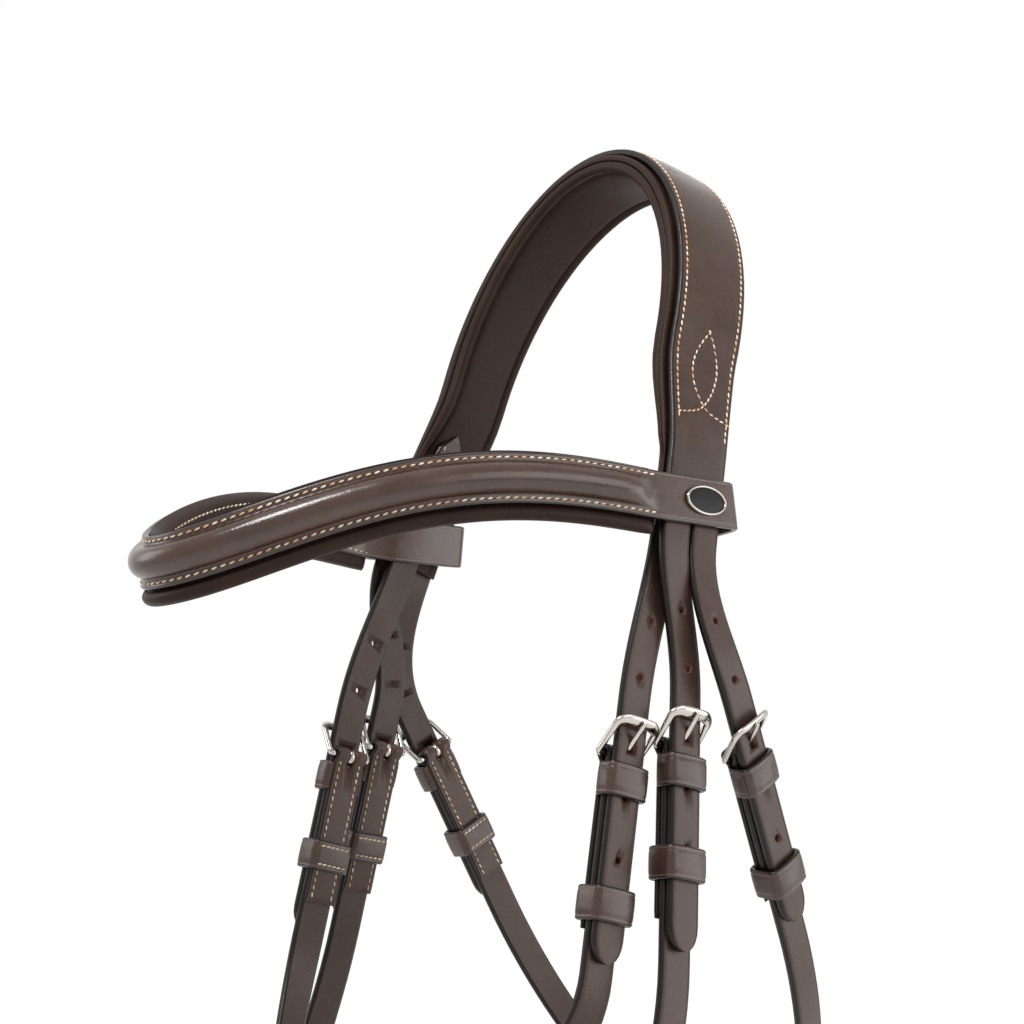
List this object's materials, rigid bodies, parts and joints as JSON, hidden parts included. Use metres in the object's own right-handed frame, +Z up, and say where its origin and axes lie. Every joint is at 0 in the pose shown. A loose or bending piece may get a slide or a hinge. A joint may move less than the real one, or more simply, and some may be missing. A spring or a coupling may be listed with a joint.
{
  "type": "horse bridle",
  "caption": "Leather riding bridle with padded headpiece, raised padded browband and noseband, rectangular buckles, keepers, sliding runners, throatlatch and bit loops.",
  "frame": {"origin": "middle of the headpiece padding's underside, where it lies on the horse's poll", "axes": "+Z up, -Y towards the horse's nose, +X towards the horse's left, the near side"},
  "size_m": [0.1864, 0.2882, 0.5083],
  "materials": {
    "strap_leather": "satin dark brown bridle leather",
    "lining_leather": "soft matt dark brown lining leather",
    "padding": "felt and cord padding, hidden",
    "buckle_metal": "polished stainless steel",
    "badge_enamel": "plain dark grained inlay"
  },
  "bodies": {
    "headstall": {"crown_strap": "strap_leather", "crown_lining": "lining_leather", "crown_pad_core": "padding", "noseband_billet_near": "strap_leather", "noseband_billet_far": "strap_leather", "cheek_near_buckle_frame": "buckle_metal", "cheek_near_keeper": "strap_leather", "cheek_far_buckle_frame": "buckle_metal", "cheek_far_keeper": "strap_leather", "throat_near_buckle_frame": "buckle_metal", "throat_near_keeper": "strap_leather", "throat_far_buckle_frame": "buckle_metal", "throat_far_keeper": "strap_leather", "noseband_near_buckle_frame": "buckle_metal", "noseband_near_keeper": "strap_leather", "noseband_far_buckle_frame": "buckle_metal", "noseband_far_keeper": "strap_leather", "cheekpiece_near": "strap_leather", "cheekpiece_far": "strap_leather", "bit_keeper_upper_near": "strap_leather", "bit_keeper_lower_near": "strap_leather", "bit_keeper_upper_far": "strap_leather", "bit_keeper_lower_far": "strap_leather", "bit_stud_near": "buckle_metal", "bit_stud_far": "buckle_metal", "throatlatch": "strap_leather", "noseband_cheekpiece_near": "strap_leather", "noseband_cheekpiece_far": "strap_leather", "noseband_face": "strap_leather", "noseband_core": "padding", "noseband_lining": "lining_leather", "chin_strap": "strap_leather", "chin_chape": "strap_leather", "chin_buckle_frame": "buckle_metal", "chin_keeper": "strap_leather"},
    "browband": {"browband_face": "strap_leather", "browband_core": "padding", "browband_lining": "lining_leather", "badge_rim": "buckle_metal", "badge_face": "badge_enamel"},
    "cheek_near_tongue": {"cheek_near_buckle_tongue": "buckle_metal"},
    "cheek_far_tongue": {"cheek_far_buckle_tongue": "buckle_metal"},
    "throat_near_tongue": {"throat_near_buckle_tongue": "buckle_metal"},
    "throat_far_tongue": {"throat_far_buckle_tongue": "buckle_metal"},
    "noseband_near_tongue": {"noseband_near_buckle_tongue": "buckle_metal"},
    "noseband_far_tongue": {"noseband_far_buckle_tongue": "buckle_metal"},
    "chin_tongue": {"chin_buckle_tongue": "buckle_metal"},
    "cheek_near_loop": {"cheek_near_runner": "strap_leather"},
    "cheek_far_loop": {"cheek_far_runner": "strap_leather"},
    "throat_near_loop": {"throat_near_runner": "strap_leather"},
    "throat_far_loop": {"throat_far_runner": "strap_leather"},
    "noseband_near_loop": {"noseband_near_runner": "strap_leather"},
    "noseband_far_loop": {"noseband_far_runner": "strap_leather"},
    "chin_loop": {"chin_runner": "strap_leather"}
  },
  "joints": [
    {"name": "browband_slide", "type": "slide", "parent": "headstall", "child": "browband", "axis": [0, 0.309, 0.9511], "range_m": [0, 0.0025]},
    {"name": "cheek_near_tongue_hinge", "type": "hinge", "parent": "headstall", "child": "cheek_near_tongue", "pos_m": [0.07649, -0.05807, -0.22481], "axis": [0, 0.9859, -0.1676], "range_deg": [0, 12]},
    {"name": "cheek_far_tongue_hinge", "type": "hinge", "parent": "headstall", "child": "cheek_far_tongue", "pos_m": [-0.07649, -0.05807, -0.22481], "axis": [0, -0.9859, 0.1676], "range_deg": [0, 12]},
    {"name": "throat_near_tongue_hinge", "type": "hinge", "parent": "headstall", "child": "throat_near_tongue", "pos_m": [0.08063, -0.0291, -0.22497], "axis": [0, 0.885, 0.4655], "range_deg": [0, 12]},
    {"name": "throat_far_tongue_hinge", "type": "hinge", "parent": "headstall", "child": "throat_far_tongue", "pos_m": [-0.08063, -0.0291, -0.22497], "axis": [0, -0.885, -0.4655], "range_deg": [0, 12]},
    {"name": "noseband_near_tongue_hinge", "type": "hinge", "parent": "headstall", "child": "noseband_near_tongue", "pos_m": [0.0716, -0.07987, -0.22751], "axis": [0, 0.976, -0.2177], "range_deg": [0, 12]},
    {"name": "noseband_far_tongue_hinge", "type": "hinge", "parent": "headstall", "child": "noseband_far_tongue", "pos_m": [-0.0716, -0.07987, -0.22751], "axis": [0, -0.976, 0.2177], "range_deg": [0, 12]},
    {"name": "chin_tongue_hinge", "type": "hinge", "parent": "headstall", "child": "chin_tongue", "pos_m": [0.05795, -0.04274, -0.37577], "axis": [0, 0, -1], "range_deg": [0, 12]},
    {"name": "cheek_near_runner_slide", "type": "slide", "parent": "headstall", "child": "cheek_near_loop", "axis": [0.1117, -0.1665, -0.9797], "range_m": [-0.016, 0.014]},
    {"name": "cheek_far_runner_slide", "type": "slide", "parent": "headstall", "child": "cheek_far_loop", "axis": [-0.1117, -0.1665, -0.9797], "range_m": [-0.016, 0.014]},
    {"name": "throat_near_runner_slide", "type": "slide", "parent": "headstall", "child": "throat_near_loop", "axis": [-0.0995, 0.4632, -0.8806], "range_m": [-0.016, 0.014]},
    {"name": "throat_far_runner_slide", "type": "slide", "parent": "headstall", "child": "throat_far_loop", "axis": [0.0995, 0.4632, -0.8806], "range_m": [-0.016, 0.014]},
    {"name": "noseband_near_runner_slide", "type": "slide", "parent": "headstall", "child": "noseband_near_loop", "axis": [0.039, -0.2175, -0.9753], "range_m": [-0.016, 0.014]},
    {"name": "noseband_far_runner_slide", "type": "slide", "parent": "headstall", "child": "noseband_far_loop", "axis": [-0.039, -0.2175, -0.9753], "range_m": [-0.016, 0.014]},
    {"name": "chin_runner_slide", "type": "slide", "parent": "headstall", "child": "chin_loop", "axis": [0, -1, 0], "range_m": [-0.007, 0.007]}
  ]
}
